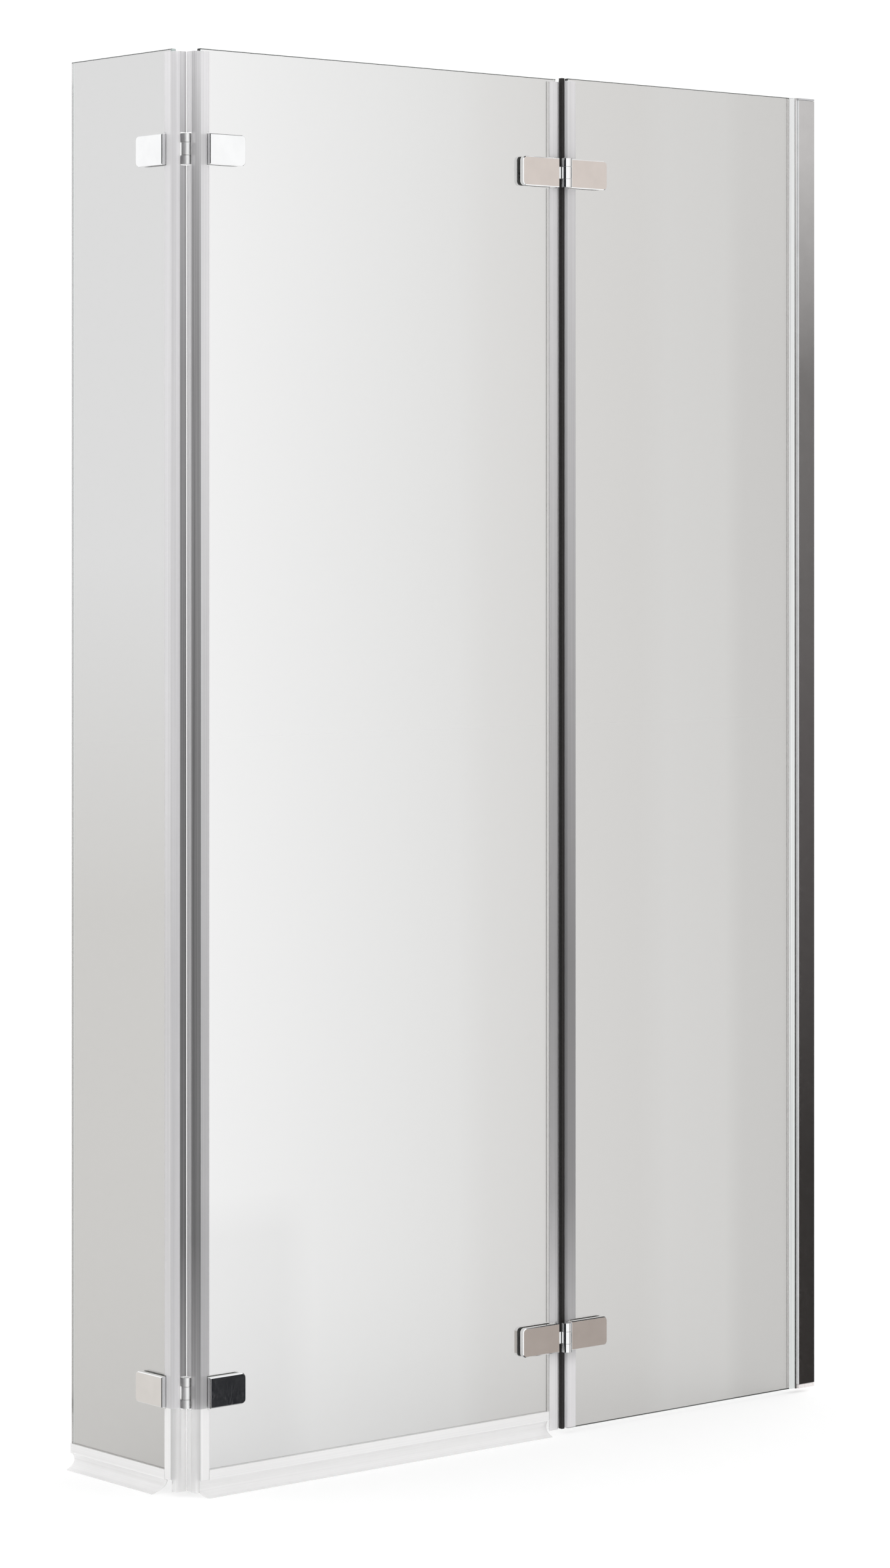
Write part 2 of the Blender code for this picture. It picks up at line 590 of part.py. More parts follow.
def gasket(holder):
    """The soft U that holds the fixed glass in its profile, with a wedge lip outside it on each face."""
    near, far = -AXIS_TO_GLASS + GASKET_GAP, -GLASS_BACK - GASKET_GAP
    start, end, lip_end = GASKET_START, GASKET_END, GLAZING_START - CAP_GAP
    far_side = [(start, far), (start + WEDGE_FRONT, far - WEDGE_PROUD + WEDGE_RISE),
                (lip_end, far - WEDGE_PROUD), (lip_end, far - GASKET_WALL), (end, far - GASKET_WALL)]
    middle = (near + far) / 2
    near_side = [(x, 2 * middle - y) for x, y in reversed(far_side)]
    inside = [(end - GASKET_WALL, near), (end - GASKET_WALL, far)]
    span = (GASKET_SHORT, SCREEN_HEIGHT - GASKET_SHORT)
    body = prism("glazing_gasket", far_side + near_side + inside, *span)
    settle(body, Matrix.Identity(4), holder, CLEAR_PLASTIC)


def end_cap(name, low, high, look, holder):
    """A cap over the wall profile's end, slotted for the glass and its gasket."""
    front, back = -GLASS_BACK - CHANNEL_PROUD, -AXIS_TO_GLASS + CHANNEL_PROUD
    start, slot_end = WALL_X - CHANNEL_DEPTH, GASKET_END + CAP_GAP
    slot_front = -GLASS_BACK - GASKET_GAP - GASKET_WALL - CAP_GAP
    slot_back = -AXIS_TO_GLASS + GASKET_GAP + GASKET_WALL + CAP_GAP
    outer = [(start, front), (WALL_X, front), (WALL_X, back), (start, back)]
    slot = [(start, slot_back), (slot_end, slot_back), (slot_end, slot_front), (start, slot_front)]
    settle(prism(name, outer + slot, low, high), Matrix.Identity(4), holder, look)


def adjuster_screw(name, level, face, holder):
    """A domed set screw through the channel's bath side into the glazing profile."""
    shape = [
        (face - 2.9 * MM, 1.2 * MM),
        (face - 2.4 * MM, 1.5 * MM),
        (face + 0.15 * MM, 1.5 * MM),
        (face + 0.15 * MM, 3.2 * MM),
        (face + 0.8 * MM, 3.1 * MM),
        (face + 1.5 * MM, 2.2 * MM),
        (face + 1.75 * MM, 1 * MM),
    ]
    settle(along_y(name, (ADJUSTER_X, level), shape), Matrix.Identity(4), holder, STAINLESS)


def panes(holders):
    """The three panes. The centre one is drawn from the middle axis, so its far holes are the corner's."""
    moving = (MOVING_BOTTOM, MOVING_TOP)
    fixed_span = (MIDDLE_EDGE, FIXED_GLASS_END - MIDDLE_AXIS_X)
    centre_span = (MIDDLE_EDGE, MIDDLE_AXIS_X - CORNER_EDGE)
    return_span = (CORNER_EDGE, RETURN_FREE_EDGE)
    both = [SCREW_SPOT, MIDDLE_AXIS_X - SCREW_SPOT]
    pane("fixed_glass", "fixed", fixed_span, (0, SCREEN_HEIGHT), [SCREW_SPOT], holders["fixed"])
    pane("centre_glass", "centre_middle", centre_span, moving, both, holders["centre"])
    pane("return_glass", "return", return_span, moving, [SCREW_SPOT], holders["return"])


def seals(holders):
    """The four vertical seals, the dark strip at the middle joint and the two bottom seals."""
    moving, still = (SEAL_FOOT, MOVING_TOP - SEAL_TOP_STEP), (SEAL_FOOT, SCREEN_HEIGHT - SEAL_TOP_STEP)
    foot = CORNER_EDGE - SEAL_GAP - NOSE_RADIUS
    centre, turned = holders["centre"], holders["return"]
    vertical_seal("fixed_middle_seal", "fixed", strip_seal(), still, None, holders["fixed"])
    vertical_seal("centre_middle_seal", "centre_middle", slant_seal(), moving, None, centre)
    vertical_seal("centre_corner_seal", "centre_corner", lip_seal(), moving, foot, centre)
    vertical_seal("return_corner_seal", "return", lip_seal(), moving, foot, turned)
    strip = prism("middle_joint_strip", rectangle(STRIP_LOW, STRIP_HIGH), 0, SCREEN_HEIGHT)
    settle_at_edge(strip, "fixed", 0, holders["fixed"], DARK_STRIP)
    start = CORNER_EDGE + VERTICAL_LEG + SEAL_END_GAP
    end = MIDDLE_AXIS_X - MIDDLE_EDGE - VERTICAL_LEG - SEAL_END_GAP
    bottom_seal("centre_bottom_seal", "centre_corner", (start, end), CORNER_EDGE + CAP_GAP, False, centre)
    bottom_seal("return_bottom_seal", "return", (start, RETURN_FREE_EDGE), start, True, turned)


def main():
    clear_scene()
    wall_foot = empty("wall_foot", Vector((WALL_X, -AXIS_TO_GLASS - GLASS / 2, 0)))
    centre_axis = empty("centre_fold_axis", MIDDLE_AXIS, wall_foot)
    return_axis = empty("return_fold_axis", CORNER_AXIS, centre_axis)
    holders = {"fixed": wall_foot, "centre": centre_axis, "return": return_axis}
    panes(holders)
    wall_profile(wall_foot)
    seals(holders)
    hinges(holders)


main()
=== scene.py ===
"""A three-panel hinged glass bath screen in a white studio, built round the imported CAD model, in metres."""

import json
import math

import bmesh
import bpy
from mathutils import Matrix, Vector


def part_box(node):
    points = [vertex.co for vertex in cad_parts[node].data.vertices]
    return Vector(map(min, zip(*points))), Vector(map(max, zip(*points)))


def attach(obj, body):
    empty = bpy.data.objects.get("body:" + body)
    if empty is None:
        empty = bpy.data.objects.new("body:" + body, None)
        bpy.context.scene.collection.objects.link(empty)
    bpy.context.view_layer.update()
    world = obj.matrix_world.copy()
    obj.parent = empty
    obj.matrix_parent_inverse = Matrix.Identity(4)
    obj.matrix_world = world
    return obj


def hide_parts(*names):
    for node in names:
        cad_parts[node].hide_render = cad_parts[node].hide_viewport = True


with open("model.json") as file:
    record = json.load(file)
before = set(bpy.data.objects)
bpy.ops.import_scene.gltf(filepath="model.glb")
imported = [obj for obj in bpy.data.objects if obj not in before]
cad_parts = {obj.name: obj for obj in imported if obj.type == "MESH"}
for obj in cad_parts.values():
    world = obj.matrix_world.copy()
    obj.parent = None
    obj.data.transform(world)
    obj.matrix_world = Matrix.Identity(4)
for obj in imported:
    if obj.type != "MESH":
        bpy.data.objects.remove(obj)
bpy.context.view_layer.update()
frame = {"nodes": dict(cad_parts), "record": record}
NODES = frame["nodes"]
BODY_OF = {node: body for body, nodes in frame["record"]["behaviour"]["bodies"].items() for node in nodes}
SLOT_OF = {part["node"]: part["material_slot"] for part in frame["record"]["subparts"]}

MM = 0.001

# The studio.
WORLD_LEVEL = 1.12
FLOOR_WHITE = 0.5
FLOOR_REACH = 12
CAMERA_SPOT = (-2.9377, -3.4806, 0.9414)
CAMERA_TURN = (math.radians(90), 0, math.radians(-39.98))
CAMERA_LENS = 100.4
CAMERA_SHIFT_Y = -0.165

# The panes: the axis that each is thin along, and what tells its edges from its chamfers and broad faces.
ACROSS = {"fixed_glass": 1, "centre_glass": 1, "return_glass": 0}
SQUARE_ON = 0.99
UPWARD = 0.5
LEAST_EDGE_AREA = 50 * MM * MM

# The corner, in plan. The panes end a little way from the axis that they turn about. A fold range says how
# far out from that axis a seal carries painted shade, a darker copy of its material.
CORNER_AXIS = (-0.408, -0.07415)
PANE_SETBACK = 7 * MM
KNUCKLE_REACH = 5.5 * MM
FOLDS = {"return_corner_seal": (0, 6.2 * MM), "centre_corner_seal": (6 * MM, 14.5 * MM)}
FOOT_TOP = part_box("corner_bottom_hinge_centre_leaf")[0][2]

# How a node's mesh is cleaned and its edges are drawn.
WELD_WITHIN = 0.002 * MM
FLAT_WITHIN = math.radians(0.2)
EDGE_ROUNDING = 0.12 * MM
ROUNDING_STEPS = 2
SHARP_EDGE = math.radians(35)
SHARP_SEAL_EDGE = math.radians(28)
FACE_WEIGHT = 90

# Nearly all the values of a noise texture lie between these.
NOISE_LOW, NOISE_HIGH = 0.3, 0.7


# ---------------------------------------------------------------- materials

def new_material(name):
    """An empty node tree, and a function that adds a node to it with the given settings and inputs."""
    material = bpy.data.materials.new(name)
    material.use_nodes = True
    tree = material.node_tree
    tree.nodes.clear()

    def add(kind, **settings):
        node = tree.nodes.new(kind)
        for key, value in settings.items():
            if hasattr(node, key):
                setattr(node, key, value)
            else:
                node.inputs[key.replace("_", " ")].default_value = value
        return node

    return material, tree, add


def principled(tree, add, **settings):
    """A Principled shader that is the material's surface."""
    shader = add("ShaderNodeBsdfPrincipled", **settings)
    output = add("ShaderNodeOutputMaterial")
    tree.links.new(shader.outputs["BSDF"], output.inputs["Surface"])
    return shader


def stretched(tree, add, scale=(1, 1, 1)):
    """Object coordinates, scaled along each axis."""
    place = add("ShaderNodeTexCoord")
    mapping = add("ShaderNodeMapping", Scale=scale)
    tree.links.new(place.outputs["Object"], mapping.inputs["Vector"])
    return mapping.outputs["Vector"]


def noise(tree, add, vector, scale, detail):
    texture = add("ShaderNodeTexNoise", Scale=scale, Detail=detail)
    tree.links.new(vector, texture.inputs["Vector"])
    return texture.outputs["Fac"]


def remap(tree, add, value, low, high, start=NOISE_LOW, end=NOISE_HIGH):
    """A value taken from start..end to low..high."""
    node = add("ShaderNodeMapRange", From_Min=start, From_Max=end, To_Min=low, To_Max=high)
    tree.links.new(value, node.inputs["Value"])
    return node.outputs["Result"]


def along(tree, add, axis, start, end):
    """How far a point lies from start to end along an axis of the frame."""
    place = add("ShaderNodeTexCoord")
    split = add("ShaderNodeSeparateXYZ")
    tree.links.new(place.outputs["Object"], split.inputs["Vector"])
    return remap(tree, add, split.outputs[axis], 0, 1, start, end)


def ramp(tree, add, value, stops):
    """A colour ramp over 0..1 from (place, colour) stops."""
    node = add("ShaderNodeValToRGB")
    elements = node.color_ramp.elements
    while len(elements) < len(stops):
        elements.new(0.5)
    for element, (spot, colour) in zip(elements, stops):
        element.position = spot
        element.color = (*colour, 1)
    tree.links.new(value, node.inputs["Fac"])
    return node.outputs["Color"]


def mottled(tree, add, value, dim, colour):
    """A noise value as a colour that wanders between two."""
    return ramp(tree, add, value, [(NOISE_LOW, dim), (NOISE_HIGH, colour)])


def multiplied(tree, add, first, second):
    """The product of two colours."""
    node = add("ShaderNodeMix", data_type="RGBA", blend_type="MULTIPLY")
    node.inputs[0].default_value = 1
    colours = [socket for socket in node.inputs if socket.type == "RGBA"]
    tree.links.new(first, colours[0])
    tree.links.new(second, colours[1])
    return next(socket for socket in node.outputs if socket.type == "RGBA")


def bump(tree, add, height, strength, distance):
    node = add("ShaderNodeBump", Strength=strength, Distance=distance)
    tree.links.new(height, node.inputs["Height"])
    return node.outputs["Normal"]


def chrome(name, colour=(0.86, 0.865, 0.87), smooth=0.035, rough=0.09):
    """Bright plate: faint cloudy wiping marks in the gloss, and a slight orange peel."""
    material, tree, add = new_material(name)
    shader = principled(tree, add, Metallic=1.0)
    dim = tuple(level * 0.95 for level in colour)
    clouds = noise(tree, add, stretched(tree, add), scale=55, detail=5)
    marks = noise(tree, add, stretched(tree, add, (260, 260, 60)), scale=5, detail=6)
    peel = noise(tree, add, stretched(tree, add), scale=420, detail=2)
    tree.links.new(mottled(tree, add, clouds, dim, colour), shader.inputs["Base Color"])
    tree.links.new(remap(tree, add, marks, smooth, rough), shader.inputs["Roughness"])
    tree.links.new(bump(tree, add, peel, strength=0.05, distance=0.04 * MM), shader.inputs["Normal"])
    return material


def tinted_glass_with_painted_shade(name, axis, start, end, stops):
    """Toughened glass with painted shade: its colour darkens softly along one axis, standing in for the
    shading that the pane shows in the light. Faint water marks in its gloss.
    """
    material, tree, add = new_material(name)
    shader = principled(tree, add, Transmission_Weight=1.0, IOR=1.45)
    tint_and_painted_shade = ramp(tree, add, along(tree, add, axis, start, end), stops)
    marks = noise(tree, add, stretched(tree, add, (1, 1, 0.4)), scale=30, detail=4)
    gloss = remap(tree, add, marks, 0.0, 0.012, start=0.45, end=0.7)
    tree.links.new(tint_and_painted_shade, shader.inputs["Base Color"])
    tree.links.new(gloss, shader.inputs["Roughness"])
    return material


def glass_edge(name, dim, colour):
    """A ground edge, a little frosted."""
    material, tree, add = new_material(name)
    shader = principled(tree, add, Transmission_Weight=1.0, IOR=1.45)
    grain = noise(tree, add, stretched(tree, add), scale=900, detail=3)
    tree.links.new(mottled(tree, add, grain, dim, colour), shader.inputs["Base Color"])
    tree.links.new(remap(tree, add, grain, 0.08, 0.2), shader.inputs["Roughness"])
    tree.links.new(bump(tree, add, grain, strength=0.15, distance=0.1 * MM), shader.inputs["Normal"])
    return material


def clear_plastic(name, shades, clearness, smooth, rough, lengthwise, contrast):
    """Extruded or moulded plastic, more or less clear: draw lines along its length, and a colour ramp up its
    height that carries painted shade where its stops differ.
    """
    material, tree, add = new_material(name)
    shader = principled(tree, add, Transmission_Weight=clearness, IOR=1.4)
    lines = noise(tree, add, stretched(tree, add, lengthwise), scale=1, detail=3)
    clouds = noise(tree, add, stretched(tree, add), scale=25, detail=4)
    tint_and_painted_shade = ramp(tree, add, along(tree, add, "Z", 0, PAINTED_SHADE_TOP), shades)
    streaks = ramp(tree, add, lines, [(0.35, (1 - contrast,) * 3), (0.65, (1, 1, 1))])
    tree.links.new(multiplied(tree, add, tint_and_painted_shade, streaks), shader.inputs["Base Color"])
    tree.links.new(remap(tree, add, clouds, smooth, rough), shader.inputs["Roughness"])
    tree.links.new(bump(tree, add, lines, strength=0.2, distance=0.2 * MM), shader.inputs["Normal"])
    return material


def plain_plastic(name, colour, smooth, rough, grain):
    """Moulded or rubbery opaque plastic with a fine grain."""
    material, tree, add = new_material(name)
    shader = principled(tree, add)
    dim = tuple(level * 0.85 for level in colour)
    speckle = noise(tree, add, stretched(tree, add), scale=grain, detail=4)
    tree.links.new(mottled(tree, add, speckle, dim, colour), shader.inputs["Base Color"])
    tree.links.new(remap(tree, add, speckle, smooth, rough), shader.inputs["Roughness"])
    tree.links.new(bump(tree, add, speckle, strength=0.2, distance=0.1 * MM), shader.inputs["Normal"])
    return material


ALONG_X, ALONG_Y, ALONG_Z = (2, 1500, 1500), (1500, 2, 1500), (1500, 1500, 2)
NO_LENGTH = (300, 300, 300)
# The top of the ramps up the height that carry painted shade, and the heights at which the upright seals'
# painted shade is set.
PAINTED_SHADE_TOP = 1.4
PAINTED_SHADE_HEIGHTS = (0.07, 0.095, 0.25, 0.49, 0.73, 1.09, 1.27, 1.385)
WHITE = (0.995, 0.99, 0.99)


def evenly(colour):
    """The stops of a ramp that has one colour throughout."""
    return [(0, colour), (1, colour)]


def seal_with_painted_shade(name, *levels, contrast=0.12):
    """An upright seal, partly milky and faintly violet, with painted shade: its brightness is set at each
    shade height, darker over its middle heights and whiter near its ends.
    """
    shades = [
        (height / PAINTED_SHADE_TOP, (level * 0.995, level * 0.985, level))
        for height, level in zip(PAINTED_SHADE_HEIGHTS, levels)
    ]
    return clear_plastic(name, shades, clearness=0.42, smooth=0.03, rough=0.12, lengthwise=ALONG_Z,
                         contrast=contrast)


def white_seal(name, lengthwise):
    return clear_plastic(name, evenly(WHITE), clearness=0.25, smooth=0.04, rough=0.15, lengthwise=lengthwise,
                         contrast=0.06)


def liner(name, level, clearness):
    """The soft plastic between a hinge and the glass."""
    colour = (level, level * 1.05, level * 0.96)
    return clear_plastic(name, evenly(colour), clearness=clearness, smooth=0.25, rough=0.4,
                         lengthwise=NO_LENGTH, contrast=0.12)


# Painted shade in the glass colour: the run panes darken from left to right along X, and the return pane
# darkens towards the bottom.
run_tint_and_painted_shade = [
    (0.0, (0.775, 0.775, 0.775)),
    (0.3, (0.69, 0.69, 0.685)),
    (0.58, (0.60, 0.595, 0.585)),
    (1.0, (0.535, 0.528, 0.517)),
]
return_tint_and_painted_shade = [
    (0.0, (0.53, 0.523, 0.51)),
    (0.45, (0.54, 0.533, 0.52)),
    (0.65, (0.615, 0.615, 0.615)),
    (1.0, (0.615, 0.615, 0.615)),
]
run_glass_painted_shade = tinted_glass_with_painted_shade("run_glass_painted_shade", "X", -0.4, 0.42, run_tint_and_painted_shade)
return_glass = tinted_glass_with_painted_shade("return_glass_tint_and_painted_shade", "Z", 0.0, PAINTED_SHADE_TOP, return_tint_and_painted_shade)
upright_edge = glass_edge("upright_edge", (0.78, 0.93, 0.90), (0.86, 0.98, 0.95))
# Painted shade: the level edges are a near-black copy of the pale green edge glass.
level_edge_painted_shade = glass_edge("level_edge_painted_shade", (0.09, 0.105, 0.1), (0.13, 0.15, 0.145))

# Painted shade: the corner seals' fold is a darker copy of the seal material.
corner_fold = seal_with_painted_shade("seal_corner_fold", 0.99, 0.51, 0.26, 0.26, 0.30, 0.44, 0.62, 0.95, contrast=0.4)
foot_leg = white_seal("seal_foot_leg", ALONG_Z)
foot_fold = clear_plastic("seal_foot_fold", evenly(WHITE), clearness=0.55, smooth=0.03, rough=0.12,
                          lengthwise=ALONG_Z, contrast=0.08)
bath_side = clear_plastic("seal_bath_side", evenly(WHITE), clearness=0.98, smooth=0.03, rough=0.1,
                          lengthwise=ALONG_Z, contrast=0.06)
gasket = clear_plastic("gasket_room_side", [(0, (0.93, 0.96, 0.95)), (1, (0.96, 0.97, 0.97))], clearness=0.15,
                       smooth=0.1, rough=0.25, lengthwise=ALONG_Z, contrast=0.3)

# The pane that each seal is on, and the seal's main material. The upright seals get copies of one material
# with painted shade, each with its own brightness up its height.
SEALS = {
    "centre_bottom_seal": ("centre_glass", white_seal("seal_run", ALONG_X)),
    "return_bottom_seal": ("return_glass", white_seal("seal_return", ALONG_Y)),
    "centre_corner_seal": (
        "centre_glass", seal_with_painted_shade("seal_corner_run", 0.98, 0.62, 0.56, 0.59, 0.67, 0.84, 0.86, 0.95),
    ),
    "return_corner_seal": (
        "return_glass", seal_with_painted_shade("seal_corner_return", 0.98, 0.88, 0.83, 0.80, 0.87, 0.93, 0.92, 0.98),
    ),
    "centre_middle_seal": (
        "centre_glass", seal_with_painted_shade("seal_middle_run", 0.98, 0.84, 0.50, 0.42, 0.52, 0.75, 0.84, 0.92),
    ),
    "fixed_middle_seal": (
        "fixed_glass", seal_with_painted_shade("seal_middle_fixed", 0.98, 0.62, 0.36, 0.32, 0.45, 0.66, 0.77, 0.90),
    ),
    "glazing_gasket": ("fixed_glass", gasket),
}

bright_chrome = chrome("bright_chrome")
# Painted light: the corner knuckles get a rougher copy of the chrome whose lighter colour stands in for their
# whitish look.
satin_chrome_painted_light = chrome("satin_chrome_painted_light", (0.95, 0.95, 0.95), smooth=0.5, rough=0.6)
# Painted light: the liners at the corner are a lighter copy of the liner material.
corner_liner_painted_light = liner("corner_liner_painted_light", level=0.9, clearness=0.55)
FINISHES = {
    "polished_chrome": bright_chrome,
    "steel": chrome("stainless_steel", (0.68, 0.68, 0.69), smooth=0.18, rough=0.32),
    "liner": liner("middle_liner", level=0.42, clearness=0.85),
    "dark_strip": plain_plastic("dark_strip", (0.008, 0.006, 0.0055), smooth=0.6, rough=0.8, grain=700),
    "white_cap": plain_plastic("white_cap", (0.86, 0.82, 0.81), smooth=0.3, rough=0.45, grain=500),
    "grey_cap": plain_plastic("grey_cap", (0.5, 0.5, 0.51), smooth=0.3, rough=0.45, grain=500),
}


# ---------------------------------------------------------------- pieces

def cleaned(node):
    """The node's solid with its doubled points joined and its flat faces whole."""
    mesh = bmesh.new()
    mesh.from_mesh(NODES[node].data)
    bmesh.ops.remove_doubles(mesh, verts=mesh.verts, dist=WELD_WITHIN)
    bmesh.ops.dissolve_limit(mesh, angle_limit=FLAT_WITHIN, verts=mesh.verts, edges=mesh.edges)
    bmesh.ops.recalc_face_normals(mesh, faces=mesh.faces)
    return mesh


def soften(mesh):
    """Rounds the sharp edges."""
    sharp = [edge for edge in mesh.edges if len(edge.link_faces) == 2 and edge.calc_face_angle() > SHARP_EDGE]
    bmesh.ops.bevel(mesh, geom=sharp, offset=EDGE_ROUNDING, segments=ROUNDING_STEPS, profile=0.5,
                    affect="EDGES", clamp_overlap=True)


def piece_for(node, mesh, materials):
    """A piece that stands for a node and rides on its body. It keeps the materials that its faces use."""
    used = sorted({face.material_index for face in mesh.faces})
    for face in mesh.faces:
        face.material_index = used.index(face.material_index)
    data = bpy.data.meshes.new(node + "_shape")
    mesh.to_mesh(data)
    mesh.free()
    for index in used:
        data.materials.append(materials[index])
    piece = bpy.data.objects.new(node + "_piece", data)
    bpy.context.scene.collection.objects.link(piece)
    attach(piece, BODY_OF[node])
    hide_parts(node)
    return piece


def smooth_shading(piece):
    """Smooth round the curves, with the flat faces still flat."""
    piece.data.shade_smooth()
    weigh = piece.modifiers.new("even_shading", "WEIGHTED_NORMAL")
    weigh.keep_sharp = True
    weigh.weight = FACE_WEIGHT


def glass_piece(node, tint_and_painted_shade):
    """A pane: its two broad faces are clear. Its long level edges carry painted shade, a near-black copy of
    the edge glass that stands in for how dark they look.
    """
    broad, upright, level = range(3)
    mesh = cleaned(node)
    for face in mesh.faces:
        face.smooth = False
        if abs(face.normal[ACROSS[node]]) > SQUARE_ON:
            face.material_index = broad
        elif abs(face.normal.z) > UPWARD and face.calc_area() > LEAST_EDGE_AREA:
            face.material_index = level
        else:
            face.material_index = upright
    piece_for(node, mesh, [tint_and_painted_shade, upright_edge, level_edge_painted_shade])


def from_corner(face):
    """How far a face's middle is from the corner axis, along X and along Y."""
    middle = face.calc_center_median()
    return middle.x - CORNER_AXIS[0], middle.y - CORNER_AXIS[1]


def soft_edged_piece(node, material):
    """A piece with rounded edges. Chrome knuckles at the corner get a rougher copy of the chrome that blurs
    their reflections, with a lighter colour that is painted light.
    """
    mesh = cleaned(node)
    soften(mesh)
    for face in mesh.faces:
        face.material_index = int(material == bright_chrome and max(from_corner(face)) < KNUCKLE_REACH)
    smooth_shading(piece_for(node, mesh, [material, satin_chrome_painted_light]))


def over_bath_side(mesh, glass):
    """The faces of a seal that lie over the bath side of its pane."""
    across = ACROSS[glass]
    low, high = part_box(glass)
    half_way = (low[across] + high[across]) / 2
    for face in mesh.faces:
        middle = face.calc_center_median()
        over = all(low[axis] < middle[axis] < high[axis] for axis in range(3) if axis != across)
        if over and middle[across] > half_way:
            yield face


def drawn_piece(node, glass, material):
    """A long seal or gasket, smooth round its curves and sharp at its corners. Past the ends of the glass, a
    corner seal carries painted shade, a darker copy of its material, where it is within its fold range from
    the axis. Below the hinges it is whiter. The leg on the bath side of a pane is clear."""
    painted_shade_part, foot_on_glass, foot_past_glass, bath_leg = range(1, 5)
    mesh = cleaned(node)
    if node in FOLDS:
        everything = mesh.verts[:] + mesh.edges[:] + mesh.faces[:]
        bmesh.ops.bisect_plane(mesh, geom=everything, plane_co=(0, 0, FOOT_TOP), plane_no=(0, 0, 1))
        near, far = FOLDS[node]
        for face in mesh.faces:
            low, high = sorted(from_corner(face))
            past_glass = high < PANE_SETBACK
            if face.calc_center_median().z < FOOT_TOP:
                face.material_index = foot_past_glass if past_glass else foot_on_glass
            elif past_glass and near < -low < far:
                face.material_index = painted_shade_part
    for face in over_bath_side(mesh, glass):
        face.material_index = bath_leg
    piece = piece_for(node, mesh, [material, corner_fold, foot_leg, foot_fold, bath_side])
    smooth_shading(piece)
    piece.data.set_sharp_from_angle(angle=SHARP_SEAL_EDGE)


glass_piece("fixed_glass", run_glass_painted_shade)
glass_piece("centre_glass", run_glass_painted_shade)
glass_piece("return_glass", return_glass)
for node, slot in SLOT_OF.items():
    if node in SEALS:
        drawn_piece(node, *SEALS[node])
    elif slot == "liner" and node.startswith("corner"):
        soft_edged_piece(node, corner_liner_painted_light)
    elif slot in FINISHES:
        soft_edged_piece(node, FINISHES[slot])


# ---------------------------------------------------------------- studio

def flat_sheet(name, corners, material):
    data = bpy.data.meshes.new(name)
    data.from_pydata(corners, [], [(0, 1, 2, 3)])
    data.materials.append(material)
    sheet = bpy.data.objects.new(name, data)
    bpy.context.scene.collection.objects.link(sheet)
    return sheet


def card_material(name, spans, colours, fade):
    """A glow that shades along the second span, and fades out over this distance at each end of both. A span
    is an axis with a start and an end."""
    material, tree, add = new_material(name)
    borders = []
    for axis, start, end in spans:
        borders.append(along(tree, add, axis, start, start + fade))
        borders.append(along(tree, add, axis, end, end - fade))
    mask = borders[0]
    for border in borders[1:]:
        product = add("ShaderNodeMath", operation="MULTIPLY")
        tree.links.new(mask, product.inputs[0])
        tree.links.new(border, product.inputs[1])
        mask = product.outputs["Value"]
    glow = add("ShaderNodeEmission")
    clear = add("ShaderNodeBsdfTransparent")
    mix = add("ShaderNodeMixShader")
    output = add("ShaderNodeOutputMaterial")
    tree.links.new(ramp(tree, add, along(tree, add, *spans[1]), colours), glow.inputs["Color"])
    tree.links.new(mask, mix.inputs["Fac"])
    tree.links.new(clear.outputs["BSDF"], mix.inputs[1])
    tree.links.new(glow.outputs["Emission"], mix.inputs[2])
    tree.links.new(mix.outputs["Shader"], output.inputs["Surface"])
    return material


def reflection_card(name, corner, size, facing, colours, fade):
    """A card that only reflections see. It faces along X, Y or Z and stands on its low corner."""
    sides = {"X": "YZ", "Y": "XZ", "Z": "XY"}[facing]
    starts = [corner["XYZ".index(side)] for side in sides]
    spans = [(side, start, start + length) for side, start, length in zip(sides, starts, size)]
    low = Vector(corner)
    across, up = (Vector([length * (axis == side) for axis in "XYZ"]) for side, length in zip(sides, size))
    corners = [low, low + across, low + across + up, low + up]
    card = flat_sheet(name, corners, card_material(name, spans, colours, fade))
    card.visible_camera = False
    card.visible_diffuse = False
    card.visible_transmission = False
    card.visible_shadow = False


black = evenly((0.02, 0.021, 0.024))
beige_shades = [
    (0, (0.44, 0.38, 0.345)),
    (0.3, (0.46, 0.40, 0.36)),
    (0.85, (0.76, 0.68, 0.63)),
    (1, (0.76, 0.68, 0.63)),
]
wall_shades = [
    (0, (0.03, 0.026, 0.024)),
    (0.25, (0.038, 0.034, 0.032)),
    (0.5, (0.11, 0.10, 0.098)),
    (0.72, (0.20, 0.19, 0.185)),
    (0.86, (0.62, 0.6, 0.59)),
    (1, (0.66, 0.65, 0.64)),
]
pale = evenly((0.78, 0.74, 0.70))
reflection_card("dark_flag", corner=(0.62, -1.6, -0.6), size=(0.31, 0.6), facing="Y", colours=black,
                fade=0.06)
reflection_card("beige_card", corner=(1.2, -1.6, -0.7), size=(0.42, 2.5), facing="Y", colours=beige_shades,
                fade=0.06)
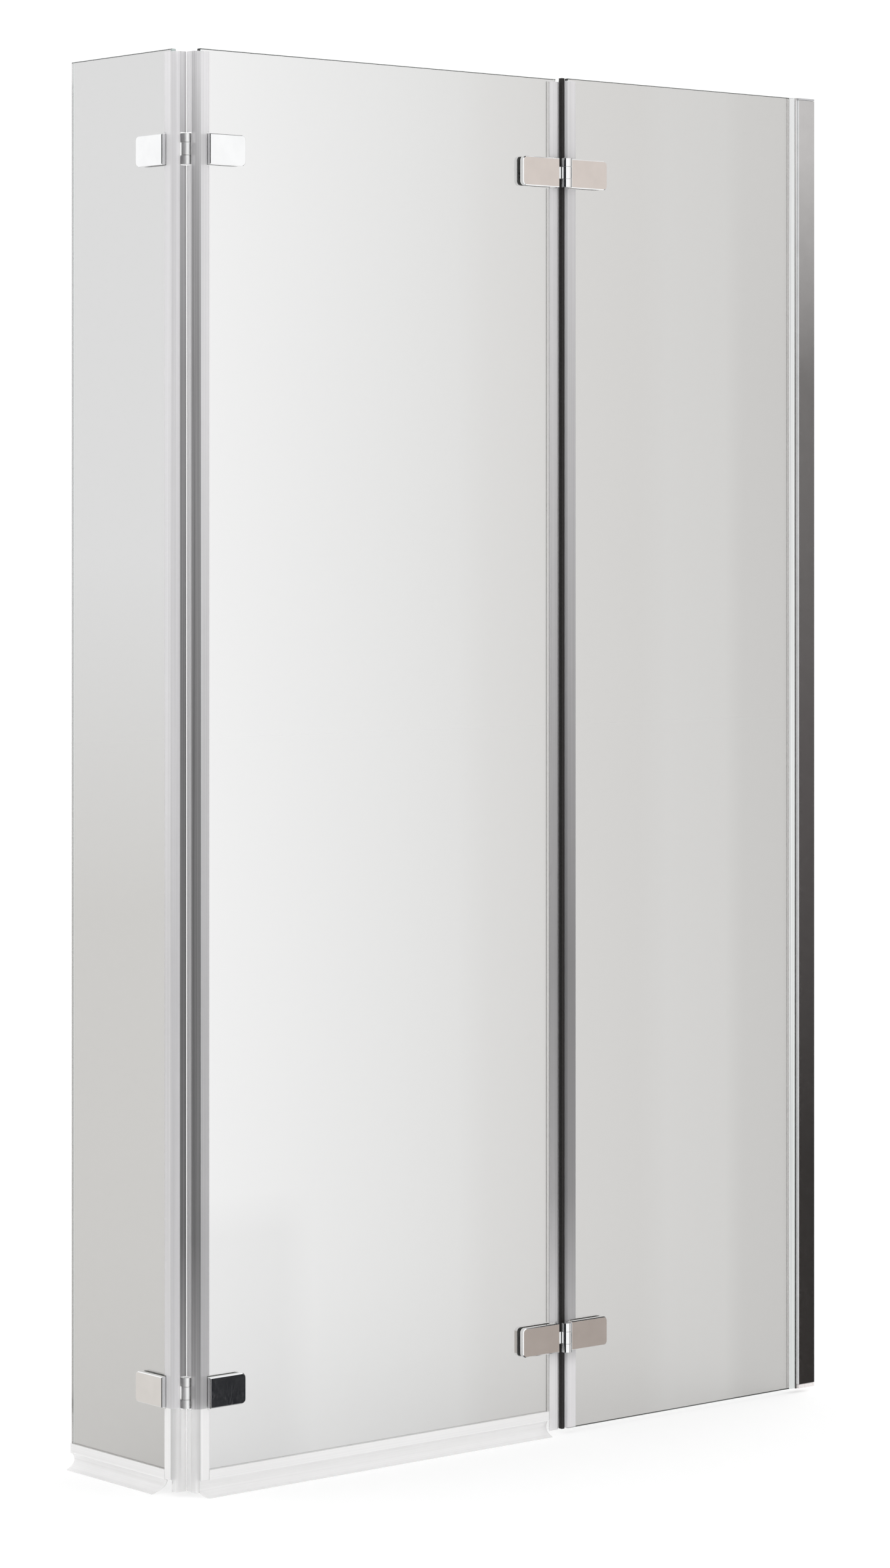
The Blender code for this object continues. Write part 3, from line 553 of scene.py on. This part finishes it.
reflection_card("dark_wall", corner=(1.74, -1.6, -0.7), size=(0.7, 2.6), facing="Y", colours=wall_shades,
                fade=0.04)
reflection_card("pale_card", corner=(-1.95, 1.5, -0.8), size=(0.8, 1.3), facing="Y", colours=pale, fade=0.1)
reflection_card("left_flag", corner=(-2.4, -1.8, -1.2), size=(2.6, 4.4), facing="X", colours=black, fade=0.12)
reflection_card("right_flag", corner=(2.6, -1.0, -1.2), size=(2.6, 4.4), facing="X", colours=black, fade=0.12)
reflection_card("over_flag", corner=(-1.3, -1.3, 3.2), size=(2.6, 2.6), facing="Z", colours=black, fade=0.3)
reflection_card("under_flag", corner=(-1.3, -1.3, -1.4), size=(2.6, 2.6), facing="Z", colours=black, fade=0.3)


def floor_paper():
    """White paper that is partly lit from within, so that only a faint shadow shows on it."""
    material, tree, add = new_material("floor_paper")
    principled(tree, add, Base_Color=(FLOOR_WHITE, FLOOR_WHITE, FLOOR_WHITE, 1), Roughness=0.9,
               Specular_IOR_Level=0.0, Emission_Color=(1, 1, 1, 1),
               Emission_Strength=WORLD_LEVEL * (1 - FLOOR_WHITE))
    return material


floor_corners = [
    (-FLOOR_REACH, -FLOOR_REACH, 0),
    (FLOOR_REACH, -FLOOR_REACH, 0),
    (FLOOR_REACH, FLOOR_REACH, 0),
    (-FLOOR_REACH, FLOOR_REACH, 0),
]
floor = flat_sheet("floor", floor_corners, floor_paper())
floor.visible_glossy = False

world = bpy.data.worlds.new("studio")
world.use_nodes = True
sky = world.node_tree.nodes["Background"]
sky.inputs["Color"].default_value = (1, 1, 1, 1)
sky.inputs["Strength"].default_value = WORLD_LEVEL
bpy.context.scene.world = world

camera = bpy.data.objects.new("camera", bpy.data.cameras.new("camera"))
bpy.context.scene.collection.objects.link(camera)
camera.location = CAMERA_SPOT
camera.rotation_euler = CAMERA_TURN
camera.data.lens = CAMERA_LENS
camera.data.shift_y = CAMERA_SHIFT_Y
bpy.context.scene.camera = camera
bpy.context.scene.view_settings.view_transform = "Standard"
